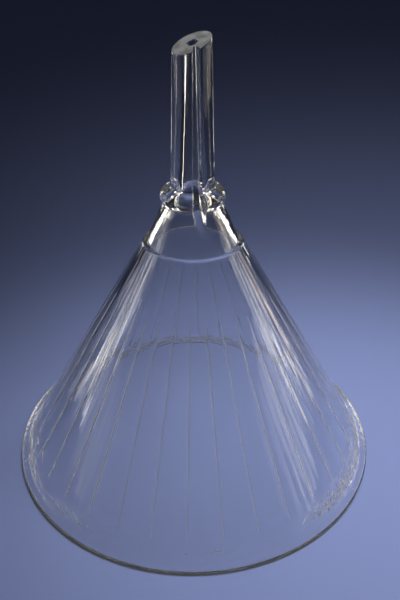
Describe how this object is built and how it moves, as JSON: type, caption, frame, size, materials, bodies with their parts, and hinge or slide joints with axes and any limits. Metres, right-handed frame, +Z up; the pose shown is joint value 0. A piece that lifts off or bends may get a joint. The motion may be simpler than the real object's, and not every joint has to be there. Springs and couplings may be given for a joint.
{
  "type": "ribbed glass funnel",
  "caption": "Clear pressed-glass funnel with a fluted 60 degree cone, stepped neck, beaded collar, vented stem and slant-ground tip.",
  "frame": {"origin": "centre of the mouth, on the plane that the rim stands on", "axes": "+Z up along the funnel's axis from the mouth to the stem's tip; the vent groove is 12.5 degrees from -Y towards +X"},
  "size_m": [0.15, 0.15, 0.1681],
  "materials": {
    "clear_glass": "clear pressed glass, fire-polished, with a ground matt face at the tip"
  },
  "bodies": {
    "root": {"rim_bead": "clear_glass", "ribbed_cone": "clear_glass", "neck_cone": "clear_glass", "neck_bead": "clear_glass", "stem": "clear_glass"}
  },
  "joints": []
}
